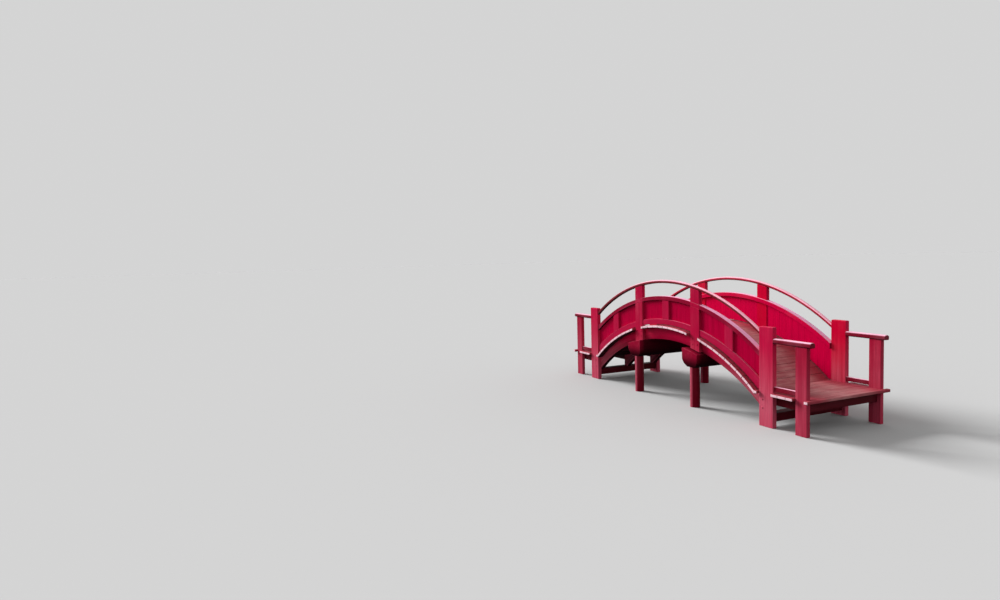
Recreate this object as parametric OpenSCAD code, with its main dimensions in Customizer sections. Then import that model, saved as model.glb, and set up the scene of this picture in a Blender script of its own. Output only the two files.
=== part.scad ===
// Red timber moon bridge: an arched footbridge on two pile bents, with boarded railings.
// X runs along the bridge, Y across it and Z up, in millimetres.
// The origin is on the level of the pile feet, in the middle of the bridge.

/* [Plan] */
// Distance between the railing posts, centre to centre
bay = 1500; // [1250:10:1800]
// Clear width between the two railings, post face to post face
walk_w = 1390; // [1000:10:1800]
// Length of each level landing, past the foot of the arch
landing_l = 930; // [750:10:1300]
// Distance from the foot of the arch to the newels
foot_gap = 50; // [20:5:120]

/* [Deck] */
// Height of the level landings above the pile feet
landing_z = 507; // [440:1:600]
// Rise of the deck from the landings to the crown of the arch
deck_rise = 761; // [640:1:920]
// Thickness of the deck boards
deck_t = 43; // [25:1:60]
// How far the deck boards stand out past the outer faces of the posts
deck_overhang = 60; // [20:1:100]

/* [Girders] */
// Depth of a girder at the crown
girder_crown_d = 210; // [160:1:260]
// Depth of a girder at the foot of the arch
girder_foot_d = 194; // [150:1:230]
// Depth of the level seats at the ends of a girder
girder_seat_d = 264; // [220:1:300]
// Thickness of a girder
girder_t = 90; // [60:1:120]

/* [Posts] */
// Width of a railing post along the bridge
post_w = 212; // [120:1:260]
// Thickness of a railing post across the bridge
post_t = 65; // [50:1:100]
// Width of a newel along the bridge
newel_w = 250; // [140:1:300]
// How far the newels stand out past the outer faces of the posts
newel_proud = 10; // [0:1:30]
// How far the newels rise past the top of the handrail where it meets them
newel_over = 64; // [20:1:150]
// Chamfer round the top of a newel
newel_chamfer = 8; // [2:1:20]

/* [Rails] */
// Height of the handrail above the crown of the deck
handrail_h = 788; // [700:1:1100]
// Height of the handrail above the landings, on the centre lines of the newels
handrail_end_h = 776; // [700:1:1100]
// Width of the handrail
handrail_w = 62; // [50:1:90]
// Depth of the handrail
handrail_d = 56; // [46:1:80]
// Radius of the rounded top edges of the handrail
handrail_round = 26; // [6:1:30]
// Chamfer of the lower edges of the handrails and wing rails
rail_chamfer = 12; // [4:1:15]
// Height of the mid rail above the crown of the deck
mid_rail_h = 508; // [430:1:600]
// Height of the mid rail above the landings, on the centre lines of the newels
mid_rail_end_h = 479; // [420:1:600]
// Depth of the mid rail
mid_rail_d = 70; // [40:1:100]
// How far the mid rail stands in past the inner faces of the posts
mid_rail_step = 30; // [10:1:60]
// Thickness of the lip of the mid rail that crosses the outer faces of the posts
mid_rail_lip = 20; // [10:1:30]
// Height of the bottom rail above the crown of the deck
bottom_rail_h = 107; // [80:1:180]
// Height of the bottom rail above the landings, on the centre lines of the newels
bottom_rail_end_h = 73; // [50:1:180]
// Open gap between the deck and the bottom rail
bottom_rail_gap = 17; // [8:1:40]

/* [Panels] */
// Thickness of the boarded panels
panel_t = 15; // [8:1:20]
// How far the faces of the panels lie behind the outer faces of the posts
panel_recess = 40; // [25:1:48]
// Width of the centre stile of a bay
stile_w = 172; // [80:1:220]
// How far the stiles and bottom rails lie behind the outer faces of the posts
stile_recess = 8; // [3:1:15]

/* [Pile bents] */
// Width of a cap beam along the bridge
cap_w = 360; // [300:1:430]
// Depth of a cap beam under the girders
cap_d = 272; // [220:1:320]
// Height of the rounded belly and noses of a cap beam
cap_belly = 157; // [120:1:185]
// How far the underside of a cap beam runs on past the piles
cap_ledge = 4; // [2:1:30]
// How far the underside of a nose is cut back from its tip
cap_undercut = 34; // [20:1:90]
// Diameter of a pile
pile_d = 158; // [100:1:190]
// Distance from the outer faces of the posts in to the centres of the piles
pile_inset = 0; // [0:1:60]

/* [Landings] */
// Distance from the end of a landing in to the centre lines of its wing posts
wing_post_inset = 155; // [120:5:300]
// Width of a wing post along the bridge
wing_post_w = 186; // [120:1:240]
// Height of the wing rails above the landings
wing_rail_h = 778; // [650:1:900]
// Depth of the wing rails
wing_rail_d = 72; // [50:1:90]
// Width of the wing rails
wing_rail_w = 95; // [70:1:120]
// Radius of the rounded top edges of the wing rails
wing_rail_round = 36; // [6:1:45]
// How far the wing rails stand out past the wing posts
wing_rail_nose = 65; // [20:1:120]
// Height of the wing bottom rails above the landings
wing_bottom_h = 93; // [80:1:180]
// Depth of the wing bottom rails
wing_bottom_d = 66; // [40:1:80]
// Thickness of the wing bottom rails
wing_bottom_t = 45; // [25:1:55]
// Depth of the landing joists
joist_d = 140; // [100:1:170]
// Depth of the end sills
sill_d = 120; // [80:1:140]
// Width of the end sills
sill_w = 150; // [100:1:200]

/* [Fits] */
// Clearance of the deck boards round the posts and newels
notch_gap = 3; // [1:1:6]
// Facets of a full circle in the preview
arc_fn = 360; // [120:10:720]

/* [Hidden] */

red = [0.66, 0.04, 0.18];
bright_red = [0.72, 0.00, 0.20];
deep_red = [0.50, 0.02, 0.13];
pale = [0.90, 0.72, 0.73];

// Longer than any piece, for cuts that run right through
long = 4000;

// Places along the bridge
newel_x = 1.5 * bay;
post_x = 0.5 * bay;
newel_face_x = newel_x - newel_w / 2;
newel_back_x = newel_x + newel_w / 2;
arch_foot_x = newel_face_x - foot_gap;
landing_end_x = arch_foot_x + landing_l;
wing_post_x = landing_end_x - wing_post_inset;
wing_post_face_x = wing_post_x - wing_post_w / 2;
wing_rail_end_x = wing_post_x + wing_post_w / 2 + wing_rail_nose;
bays = [
    [-newel_face_x, -post_x - post_w / 2],
    [-post_x + post_w / 2, post_x - post_w / 2],
    [post_x + post_w / 2, newel_face_x]
];

// Places across the bridge
inner_y = walk_w / 2;
outer_y = inner_y + post_t;
rail_y = (inner_y + outer_y) / 2;
newel_y = outer_y + newel_proud;
deck_edge_y = outer_y + deck_overhang;
panel_face_y = outer_y - panel_recess;
girder_y = inner_y - girder_t / 2;
pile_y = outer_y - pile_inset;
mid_rail_y = inner_y - mid_rail_step;
cap_tip_y = pile_y + pile_d / 2 + cap_ledge + cap_undercut;

// Radius of the arc with its crown at crown_z that falls to end_z at the distance x
function arc_r(crown_z, end_z, x) = (x * x + pow(crown_z - end_z, 2)) / (2 * (crown_z - end_z));

// Height of that arc at the distance x
function arc_z(crown_z, r, x) = crown_z - r + sqrt(r * r - x * x);

// Levels
deck_crown_z = landing_z + deck_rise;
deck_under_z = landing_z - deck_t;
girder_crown_z = deck_crown_z - deck_t - girder_crown_d;
girder_foot_z = deck_under_z - girder_foot_d;
sill_top_z = deck_under_z - girder_seat_d;
handrail_crown_z = deck_crown_z + handrail_h;
handrail_end_z = landing_z + handrail_end_h;
mid_rail_crown_z = deck_crown_z + mid_rail_h;
mid_rail_end_z = landing_z + mid_rail_end_h;
bottom_rail_crown_z = deck_crown_z + bottom_rail_h;
bottom_rail_end_z = landing_z + bottom_rail_end_h;
wing_rail_z = landing_z + wing_rail_h;
wing_bottom_z = landing_z + wing_bottom_h;

deck_r = arc_r(deck_crown_z, landing_z, arch_foot_x);
girder_r = arc_r(girder_crown_z, girder_foot_z, arch_foot_x);
handrail_r = arc_r(handrail_crown_z, handrail_end_z, newel_x);
mid_rail_r = arc_r(mid_rail_crown_z, mid_rail_end_z, newel_x);
bottom_rail_r = arc_r(bottom_rail_crown_z, bottom_rail_end_z, newel_x);

newel_top_z = arc_z(handrail_crown_z, handrail_r, newel_face_x) + newel_over;
cap_under_z = arc_z(girder_crown_z, girder_r, post_x) - cap_d;
cap_turn_z = cap_under_z + cap_belly;
nose_r = (pow(cap_undercut, 2) + pow(cap_belly, 2)) / (2 * cap_undercut);

// Upright drawing: the area under an arc, lowered or raised by an even distance
module under_arc(crown_z, r, raise = 0) {
    translate([0, crown_z - r]) circle(r = r + raise, $fn = arc_fn);
}

// Upright drawing: everything between two places along the bridge
module between(x0, x1, z0 = 0, z1 = long) {
    translate([x0, z0]) square([x1 - x0, z1 - z0]);
}

// Upright drawing: a curved board of even depth with upright ends
module arc_board(crown_z, r, depth, x0, x1) {
    intersection() {
        difference() {
            under_arc(crown_z, r);
            under_arc(crown_z, r, -depth);
        }
        between(x0, x1);
    }
}

// Gives an upright drawing its thickness across the bridge
module across(y0, y1) {
    translate([0, y1, 0]) rotate([90, 0, 0]) linear_extrude(y1 - y0) children();
}

// Gives an upright drawing made across the bridge its length along the bridge
module along(x0, x1) {
    translate([x0, 0, 0]) rotate([90, 0, 90]) linear_extrude(x1 - x0) children();
}

// A plain timber between two corners
module timber(low, high) {
    translate(low) cube(high - low);
}

// A piece modelled at the far right corner, moved to the corner that is named
module at_corner(near, left) {
    mirror([left ? 1 : 0, 0, 0]) mirror([0, near ? 1 : 0, 0]) children();
}

// The same piece on the far side and on the near side
module both_sides() {
    children();
    mirror([0, 1, 0]) children();
}

// Deck boards of one bay of the arch, cut out round the posts
module deck_bay(x0, x1) {
    color(pale) difference() {
        across(-deck_edge_y, deck_edge_y) arc_board(deck_crown_z, deck_r, deck_t, x0, x1);
        for (x = [-post_x, post_x])
            both_sides()
                timber([x - post_w / 2 - notch_gap, inner_y - notch_gap, 0],
                       [x + post_w / 2 + notch_gap, deck_edge_y + notch_gap, long]);
    }
}

// Level boards past the foot of the arch, cut out round the newels and wing posts
module landing(left) {
    color(pale) at_corner(false, left) difference() {
        timber([arch_foot_x, -deck_edge_y, deck_under_z], [landing_end_x, deck_edge_y, landing_z]);
        both_sides() {
            timber([newel_face_x - notch_gap, inner_y - notch_gap, 0],
                   [newel_back_x + notch_gap, deck_edge_y + notch_gap, long]);
            timber([wing_post_face_x - notch_gap, inner_y - notch_gap, 0],
                   [wing_post_x + wing_post_w / 2 + notch_gap, deck_edge_y + notch_gap, long]);
        }
    }
}

// Three joists from the ends of the girders to a bearer between the wing posts
module landing_frame(left) {
    color(deep_red) at_corner(false, left) {
        timber([wing_post_x - girder_t / 2, -inner_y, deck_under_z - joist_d],
               [wing_post_x + girder_t / 2, inner_y, deck_under_z]);
        for (y = [-girder_y, 0, girder_y])
            timber([newel_x, y - girder_t / 2, deck_under_z - joist_d],
                   [wing_post_x, y + girder_t / 2, deck_under_z]);
    }
}

// Sill between two newels that carries the ends of the girders
module end_sill(left) {
    color(deep_red) at_corner(false, left)
        timber([newel_x - sill_w / 2, -inner_y, sill_top_z - sill_d],
               [newel_x + sill_w / 2, inner_y, sill_top_z]);
}

// Upright drawing of a girder: under the deck boards, arched below, with level seats at its ends
module girder_outline() {
    difference() {
        union() {
            intersection() {
                under_arc(deck_crown_z, deck_r, -deck_t);
                between(-arch_foot_x, arch_foot_x, sill_top_z);
            }
            for (end = [-1, 1])
                translate([end * (arch_foot_x + newel_x) / 2, (sill_top_z + deck_under_z) / 2])
                    square([newel_x - arch_foot_x, deck_under_z - sill_top_z], center = true);
        }
        under_arc(girder_crown_z, girder_r);
    }
}

// Girder on the named centre line, one thickness wide
module girder(y) {
    color(deep_red) across(y - girder_t / 2, y + girder_t / 2) girder_outline();
}

// Outline of an upright timber with a chamfered top, between two places
module chamfered_upright(low, high, top, chamfer) {
    polygon([[low, 0], [high, 0], [high, top - chamfer], [high - chamfer, top],
             [low + chamfer, top], [low, top - chamfer]]);
}

// Newel: stands against the end of the girder and rises past the handrail
module newel(near, left) {
    color(red) at_corner(near, left) intersection() {
        across(inner_y, newel_y) chamfered_upright(newel_face_x, newel_back_x, newel_top_z, newel_chamfer);
        along(newel_face_x, newel_back_x) chamfered_upright(inner_y, newel_y, newel_top_z, newel_chamfer);
    }
}

// Post: stands on the cap beam against the girder, under the handrail, halved for the mid rail
module post(near, left) {
    color(red) at_corner(near, left) difference() {
        across(inner_y, outer_y) difference() {
            intersection() {
                under_arc(handrail_crown_z, handrail_r, -handrail_d);
                between(post_x - post_w / 2, post_x + post_w / 2);
            }
            under_arc(girder_crown_z, girder_r);
        }
        across(outer_y - mid_rail_lip, newel_y)
            arc_board(mid_rail_crown_z, mid_rail_r, mid_rail_d, 0, newel_x);
    }
}

// Cross section of a rail, its underside on the Y axis: chamfered lower edges and round upper edges
module rail_section(w, d, round, chamfer) {
    half_w = w / 2;
    low = min(chamfer, half_w / 2);
    round_r = min(round, half_w - 1, d - low);
    shoulder = d - round_r;
    polygon([[0, low - half_w], [low, -half_w], [shoulder, -half_w], [d, round_r - half_w],
             [d, half_w - round_r], [shoulder, half_w], [low, half_w], [0, half_w - low]]);
    for (side = [-1, 1])
        translate([shoulder, side * (half_w - round_r)]) circle(r = round_r, $fn = 48);
}

// Handrail: the cross section swept along its arc, cut upright against the newels
module handrail(near) {
    sweep = 2 * asin(newel_x / handrail_r);
    color(red) at_corner(near, false) intersection() {
        translate([0, rail_y, handrail_crown_z - handrail_r])
            rotate([90, 0, 0]) rotate([0, 0, 90 - sweep / 2])
                rotate_extrude(angle = sweep, $fn = arc_fn)
                    translate([handrail_r - handrail_d, 0])
                        rail_section(handrail_w, handrail_d, handrail_round, rail_chamfer);
        timber([-newel_face_x, 0, 0], [newel_face_x, long, long]);
    }
}

// Mid rail: one curved timber, mortised for the posts, with a lip across their outer faces
module mid_rail(near) {
    color(red) at_corner(near, false) difference() {
        across(mid_rail_y, outer_y)
            arc_board(mid_rail_crown_z, mid_rail_r, mid_rail_d, -newel_face_x, newel_face_x);
        for (x = [-post_x, post_x])
            timber([x - post_w / 2, inner_y, 0], [x + post_w / 2, outer_y - mid_rail_lip, long]);
    }
}

// Bottom rail: its lower edge follows the deck, its upper edge sweeps up to the newels
module bottom_rail(near) {
    color(red) at_corner(near, false)
        across(panel_face_y, outer_y - stile_recess)
            for (b = bays)
                intersection() {
                    difference() {
                        under_arc(bottom_rail_crown_z, bottom_rail_r);
                        under_arc(deck_crown_z, deck_r, bottom_rail_gap);
                    }
                    between(b[0], b[1], landing_z + bottom_rail_gap);
                }
}

// Boards under the mid rail of each bay, behind its bottom rail and stile
module panels(near) {
    color(bright_red) at_corner(near, false)
        across(panel_face_y - panel_t, panel_face_y)
            for (b = bays)
                intersection() {
                    difference() {
                        under_arc(mid_rail_crown_z, mid_rail_r, -mid_rail_d);
                        under_arc(deck_crown_z, deck_r, bottom_rail_gap);
                    }
                    between(b[0], b[1], landing_z + bottom_rail_gap);
                }
}

// Stile in the middle of each bay, between the bottom rail and the mid rail
module stiles(near) {
    color(red) at_corner(near, false)
        across(panel_face_y, outer_y - stile_recess)
            for (x = [-bay, 0, bay])
                intersection() {
                    difference() {
                        under_arc(mid_rail_crown_z, mid_rail_r, -mid_rail_d);
                        under_arc(bottom_rail_crown_z, bottom_rail_r);
                    }
                    between(x - stile_w / 2, x + stile_w / 2);
                }
}

// Cap beam: flat where the girders and posts stand, round-bellied, with undercut noses
module cap_beam(left) {
    color(deep_red) at_corner(false, left) intersection() {
        across(-cap_tip_y, cap_tip_y) intersection() {
            union() {
                translate([post_x, cap_turn_z]) circle(d = cap_w, $fn = arc_fn);
                between(post_x - cap_w / 2, post_x + cap_w / 2, cap_turn_z);
            }
            under_arc(girder_crown_z, girder_r);
            between(0, newel_x, cap_under_z);
        }
        along(0, newel_x) cap_side();
    }
}

// Cap beam seen along the bridge: upright tips, then a round undercut back to the level underside
module cap_side() {
    translate([-cap_tip_y, cap_turn_z]) square([2 * cap_tip_y, long]);
    translate([-cap_tip_y + nose_r, cap_under_z]) square([2 * (cap_tip_y - nose_r), cap_belly]);
    intersection() {
        for (side = [-1, 1])
            translate([side * (cap_tip_y - nose_r), cap_turn_z]) circle(r = nose_r, $fn = arc_fn);
        translate([-cap_tip_y, cap_under_z]) square([2 * cap_tip_y, cap_belly]);
    }
}

// Two round piles under the cap beam
module piles(left) {
    color(red) at_corner(false, left) both_sides()
        translate([post_x, pile_y, 0]) cylinder(d = pile_d, h = cap_under_z, $fn = 96);
}

// Wing post: from its foot to the underside of the wing rail
module wing_post(near, left) {
    color(red) at_corner(near, left)
        timber([wing_post_face_x, inner_y, 0],
               [wing_post_x + wing_post_w / 2, outer_y, wing_rail_z - wing_rail_d]);
}

// Wing rail: runs level from the newel over the wing post
module wing_rail(near, left) {
    color(red) at_corner(near, left)
        along(newel_back_x, wing_rail_end_x)
            translate([rail_y, wing_rail_z - wing_rail_d]) rotate([0, 0, 90])
                rail_section(wing_rail_w, wing_rail_d, wing_rail_round, rail_chamfer);
}

// Level bottom rails between the newels and the wing posts of one end
module wing_bottom_rails(left) {
    color(red) at_corner(false, left) both_sides()
        timber([newel_back_x, rail_y - wing_bottom_t / 2, wing_bottom_z - wing_bottom_d],
               [wing_post_face_x, rail_y + wing_bottom_t / 2, wing_bottom_z]);
}

deck_bay(-arch_foot_x, -post_x);  // deck_left
deck_bay(-post_x, post_x);  // deck_middle
deck_bay(post_x, arch_foot_x);  // deck_right
landing(true);  // landing_left
landing(false);  // landing_right
landing_frame(true);  // landing_frame_left
landing_frame(false);  // landing_frame_right
end_sill(true);  // end_sill_left
end_sill(false);  // end_sill_right
girder(-girder_y);  // girder_near
girder(0);  // girder_middle
girder(girder_y);  // girder_far
newel(true, true);  // newel_near_left
newel(true, false);  // newel_near_right
newel(false, true);  // newel_far_left
newel(false, false);  // newel_far_right
post(true, true);  // post_near_left
post(true, false);  // post_near_right
post(false, true);  // post_far_left
post(false, false);  // post_far_right
handrail(true);  // handrail_near
handrail(false);  // handrail_far
mid_rail(true);  // mid_rail_near
mid_rail(false);  // mid_rail_far
bottom_rail(true);  // bottom_rail_near
bottom_rail(false);  // bottom_rail_far
panels(true);  // panels_near
panels(false);  // panels_far
stiles(true);  // stiles_near
stiles(false);  // stiles_far
cap_beam(true);  // cap_beam_left
cap_beam(false);  // cap_beam_right
piles(true);  // piles_left
piles(false);  // piles_right
wing_post(true, true);  // wing_post_near_left
wing_post(true, false);  // wing_post_near_right
wing_post(false, true);  // wing_post_far_left
wing_post(false, false);  // wing_post_far_right
wing_rail(true, true);  // wing_rail_near_left
wing_rail(true, false);  // wing_rail_near_right
wing_rail(false, true);  // wing_rail_far_left
wing_rail(false, false);  // wing_rail_far_right
wing_bottom_rails(true);  // wing_bottom_rails_left
wing_bottom_rails(false);  // wing_bottom_rails_right
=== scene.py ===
# %% [markdown]
# The red moon bridge
# This is a steep arched footbridge of painted timber on two pile bents. The measured model holds every
# timber in its place. This script loads that model, gives the timbers the detail that a measured model
# leaves out, and paints them. Every piece keeps the place that the model gives it, in metres.

import random
from math import asin, atan2, cos, pi, radians, sin, sqrt

import bmesh
import bpy
from mathutils import Matrix, Vector


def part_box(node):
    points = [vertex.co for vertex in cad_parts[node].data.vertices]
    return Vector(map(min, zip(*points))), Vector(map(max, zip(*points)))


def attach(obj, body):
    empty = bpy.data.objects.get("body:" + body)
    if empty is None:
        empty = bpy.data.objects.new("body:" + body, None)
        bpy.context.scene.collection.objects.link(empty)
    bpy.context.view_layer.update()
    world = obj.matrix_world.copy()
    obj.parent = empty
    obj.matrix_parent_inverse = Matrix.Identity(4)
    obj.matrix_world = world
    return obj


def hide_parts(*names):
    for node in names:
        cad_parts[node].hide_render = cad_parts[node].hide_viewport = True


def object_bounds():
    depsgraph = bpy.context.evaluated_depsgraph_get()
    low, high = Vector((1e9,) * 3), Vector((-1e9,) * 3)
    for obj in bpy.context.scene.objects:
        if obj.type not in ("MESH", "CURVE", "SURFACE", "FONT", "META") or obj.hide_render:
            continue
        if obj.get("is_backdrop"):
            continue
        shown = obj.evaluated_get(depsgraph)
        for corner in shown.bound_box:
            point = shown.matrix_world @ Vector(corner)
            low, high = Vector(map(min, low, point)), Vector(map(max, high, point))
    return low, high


DICE_SEED = 11

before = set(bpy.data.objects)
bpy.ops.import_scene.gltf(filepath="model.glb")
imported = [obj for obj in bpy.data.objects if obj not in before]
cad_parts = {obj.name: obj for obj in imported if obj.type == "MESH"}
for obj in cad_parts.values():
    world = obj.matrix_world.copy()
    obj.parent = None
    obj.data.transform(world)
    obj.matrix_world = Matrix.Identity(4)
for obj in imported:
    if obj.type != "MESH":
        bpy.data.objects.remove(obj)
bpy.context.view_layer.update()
scene = bpy.context.scene
dice = random.Random(DICE_SEED)
print("timbers in the model:", len(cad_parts))

# %% [markdown]
# The camera
# The photograph looks at the bridge from one side, a little above the handrails, with a moderately wide
# lens. The camera could be turned by eye until the picture looks right. Here its place, its turn and its
# lens were worked out from the lines of the railing, so the render puts each timber where the photograph
# has it.

# %% Set up the camera
YAW = radians(-65.722)
PITCH = radians(-3.763)
ROLL = radians(-1.552)
CAMERA_PLACE = Vector((9.272, -8.054, 2.541))
FOCAL_PIXELS = 667
PICTURE_WIDTH = 1000
SENSOR_MM = 36.0
SIGHT_LIMIT = 500

ahead = Vector((sin(YAW) * cos(PITCH), cos(YAW) * cos(PITCH), sin(PITCH)))
level_right = Vector((cos(YAW), -sin(YAW), 0))
level_up = level_right.cross(ahead)
right = cos(ROLL) * level_right + sin(ROLL) * level_up
up = cos(ROLL) * level_up - sin(ROLL) * level_right

lens = bpy.data.cameras.new("photo_camera")
lens.sensor_fit = "HORIZONTAL"
lens.sensor_width = SENSOR_MM
lens.lens = FOCAL_PIXELS * SENSOR_MM / PICTURE_WIDTH
lens.clip_end = SIGHT_LIMIT
camera = bpy.data.objects.new("photo_camera", lens)
turn = Matrix((right, up, -ahead)).transposed().to_4x4()
camera.matrix_world = Matrix.Translation(CAMERA_PLACE) @ turn
scene.collection.objects.link(camera)
scene.camera = camera
print("lens:", round(lens.lens, 2), "mm, looking along", [round(v, 3) for v in ahead])

# %% [markdown]
# A small kit for node trees
# Every material here is a chain of nodes. The nodes could be wired up one by one, but a few helpers that
# add a node, set it up and join its sockets let the recipes further down read like recipes. Colours are
# written as a painter would read them off a screen, from 0 to 255, and turned into the linear light that
# the renderer works in.

# %% Helpers for nodes
def add(tree, kind, inputs=None, **settings):
    """Adds a node and sets its inputs, each to a value or to what another node gives."""
    node = tree.nodes.new("ShaderNode" + kind)
    for name, value in settings.items():
        setattr(node, name, value)
    for key, value in (inputs or {}).items():
        if isinstance(value, bpy.types.NodeSocket):
            tree.links.new(value, node.inputs[key])
        else:
            node.inputs[key].default_value = value
    return node


def maths(tree, operation, *values):
    """The result of a Math node."""
    node = add(tree, "Math", dict(enumerate(values)), operation=operation)
    return node.outputs[0]


def product(tree, first, *others):
    """All the values multiplied."""
    for other in others:
        first = maths(tree, "MULTIPLY", first, other)
    return first


def total(tree, first, *others):
    """All the values added."""
    for other in others:
        first = maths(tree, "ADD", first, other)
    return first


def ramp(tree, value, low, high, to_low=0.0, to_high=1.0):
    """Turns a value between low and high into one between to_low and to_high, with soft ends."""
    node = add(tree, "MapRange", {0: value, 1: low, 2: high, 3: to_low, 4: to_high},
               interpolation_type="SMOOTHSTEP")
    return node.outputs[0]


# %% Helpers for colours
# A Mix node for colours takes its share at socket 0 and the colours at 6 and 7, and gives the result at 2
def blend_of(tree, share, first, second):
    """The first colour with that share of the second over it."""
    node = add(tree, "Mix", {0: share, 6: first, 7: second}, data_type="RGBA")
    return node.outputs[2]


def toned(tree, colour, shade):
    """The colour made darker or lighter."""
    grey = add(tree, "CombineColor", {0: shade, 1: shade, 2: shade}).outputs[0]
    node = add(tree, "Mix", {0: 1.0, 6: colour, 7: grey}, data_type="RGBA", blend_type="MULTIPLY")
    return node.outputs[2]


def srgb(red, green, blue):
    """The linear light of a colour that is read off a screen, by the standard curve for screens."""
    parts = [v / 255 for v in (red, green, blue)]
    return [v / 12.92 if v <= 0.04045 else ((v + 0.055) / 1.055) ** 2.4 for v in parts] + [1.0]


print("a mid red in linear light:", [round(v, 3) for v in srgb(172, 20, 62)])


# %% Helpers for finishes
def new_finish(name):
    """A material with a plain shader, and its tree of nodes."""
    finish = bpy.data.materials.new(name)
    finish.use_nodes = True
    return finish, finish.node_tree


def complete(finish, base, rough, height, strength, depth, shine, metal=0.0):
    """Joins a colour, a roughness and a relief to the shader. Its relief is as deep as depth, in metres."""
    tree = finish.node_tree
    shader = tree.nodes["Principled BSDF"]
    relief = add(tree, "Bump", {"Height": height, "Strength": strength, "Distance": depth})
    tree.links.new(base, shader.inputs["Base Color"])
    tree.links.new(rough, shader.inputs["Roughness"])
    tree.links.new(relief.outputs[0], shader.inputs["Normal"])
    shader.inputs["Specular IOR Level"].default_value = shine
    shader.inputs["Metallic"].default_value = metal
    print("finish", finish.name)
    return finish


# %% [markdown]
# The studio
# The bridge stands on a plain pale floor under plain light: one very soft lamp, low and from the left,
# and an even world for the shaded sides. The lamp could be a small hard one, but the shade beside each
# post fades out slowly in the photograph, and only a wide lamp does that. The floor looks pale to the
# camera and in reflections, but sends little light back up, so the underside of the bridge stays as dark
# as in the photograph.

# %% Levels of light
SUN_FROM = Vector((-0.80, -0.31, 0.45)).normalized()
SUN_STRENGTH = 5.0
SUN_SOFTNESS = radians(24)
SKY_LOW = 0.95
SKY_HIGH = 0.40
SKY_TURN = 0.57
FLOOR_BOUNCE = 0.03
BACKDROP = 0.66

# The low part of the world is brighter than the part overhead, and each face sees a share of both
low_share = SKY_TURN ** 2
turn_angle = asin(SKY_TURN)
side_share = (turn_angle + sin(turn_angle) * cos(turn_angle)) / pi
sky_above = SKY_LOW * low_share + SKY_HIGH * (1 - low_share)
sky_beside = SKY_LOW * side_share + SKY_HIGH * (0.5 - side_share)
from_above = sky_above + SUN_STRENGTH * SUN_FROM.z / pi
from_front = sky_beside - SUN_STRENGTH * SUN_FROM.y / pi
from_left = sky_beside - SUN_STRENGTH * SUN_FROM.x / pi
FLOOR_PALE = BACKDROP / from_above
print("light on faces that look up", round(from_above, 2), "forwards", round(from_front, 2),
      "left", round(from_left, 2), "right", round(sky_beside, 2))

# %% Floor
FLOOR_SIZE = 400


def seen_directly(tree):
    """1 where the camera sees a surface, itself or in a reflection, and 0 where it only sends light on."""
    path = add(tree, "LightPath")
    seen = maths(tree, "MAXIMUM", path.outputs["Is Camera Ray"], path.outputs["Is Glossy Ray"])
    return maths(tree, "MAXIMUM", seen, path.outputs["Is Transmission Ray"])


form = bmesh.new()
bmesh.ops.create_grid(form, x_segments=1, y_segments=1, size=FLOOR_SIZE / 2)
floor_mesh = bpy.data.meshes.new("studio_floor")
form.to_mesh(floor_mesh)
form.free()
floor = bpy.data.objects.new("studio_floor", floor_mesh)
scene.collection.objects.link(floor)
floor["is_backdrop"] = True

floor_paint, tree = new_finish("studio_floor")
tree.nodes.clear()
tone = ramp(tree, seen_directly(tree), 0.0, 1.0, FLOOR_BOUNCE, FLOOR_PALE)
colour = add(tree, "CombineColor", {0: tone, 1: tone, 2: tone}).outputs[0]
matt = add(tree, "BsdfDiffuse", {"Color": colour})
add(tree, "OutputMaterial", {"Surface": matt.outputs[0]})
floor_mesh.materials.append(floor_paint)
print("floor", FLOOR_SIZE, "m across")

# %% World and lamp
SKY_BLEND = 0.1

world = bpy.data.worlds.new("studio_world")
world.use_nodes = True
tree = world.node_tree
tree.nodes.clear()
direction = add(tree, "TexCoord").outputs["Generated"]
height = add(tree, "SeparateXYZ", {0: direction}).outputs["Z"]
sky = ramp(tree, height, SKY_TURN - SKY_BLEND, SKY_TURN + SKY_BLEND, SKY_LOW, SKY_HIGH)
level = add(tree, "Mix", {0: seen_directly(tree), 2: sky, 3: BACKDROP}, data_type="FLOAT").outputs[0]
light = add(tree, "Background", {"Color": (1, 1, 1, 1), "Strength": level})
add(tree, "OutputWorld", {"Surface": light.outputs[0]})
scene.world = world

sun = bpy.data.lights.new("studio_lamp", "SUN")
sun.energy = SUN_STRENGTH
sun.angle = SUN_SOFTNESS
lamp = bpy.data.objects.new("studio_lamp", sun)
lamp.rotation_euler = SUN_FROM.to_track_quat("Z", "Y").to_euler()
lamp.visible_glossy = False
scene.collection.objects.link(lamp)
scene.view_settings.view_transform = "Standard"
print("lamp from", [round(v, 2) for v in SUN_FROM])

# %% [markdown]
# Arcs
# The deck, the rails and the girders are all parts of circles in upright planes. Boards are cut square to
# such an arc, and the grain of a bent timber follows it, so both need its centre. The centres could be
# written down as numbers, but found from the model they stay right when a size changes. The height of the
# crown and the height of the end are enough to find one.

# %% Find the arcs from the model
NEAR_CROWN = 0.001
NEAR_END = 0.0005


def arc_through(crown_z, end_z, end_x):
    """Radius and height of the centre of an arc over the middle of the bridge."""
    drop = crown_z - end_z
    radius = (end_x ** 2 + drop ** 2) / (2 * drop)
    return radius, crown_z - radius


def arc_of(node, side=max):
    """Radius and height of the centre of the arc along the top (max) or the underside (min) of a node."""
    points = [v.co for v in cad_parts[node].data.vertices]
    middle_x = min(abs(point.x) for point in points)
    end_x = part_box(node)[1].x
    crown = side(point.z for point in points if abs(point.x) < middle_x + NEAR_CROWN)
    end = side(point.z for point in points if abs(point.x - end_x) < NEAR_END)
    return arc_through(crown, end, end_x)


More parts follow.
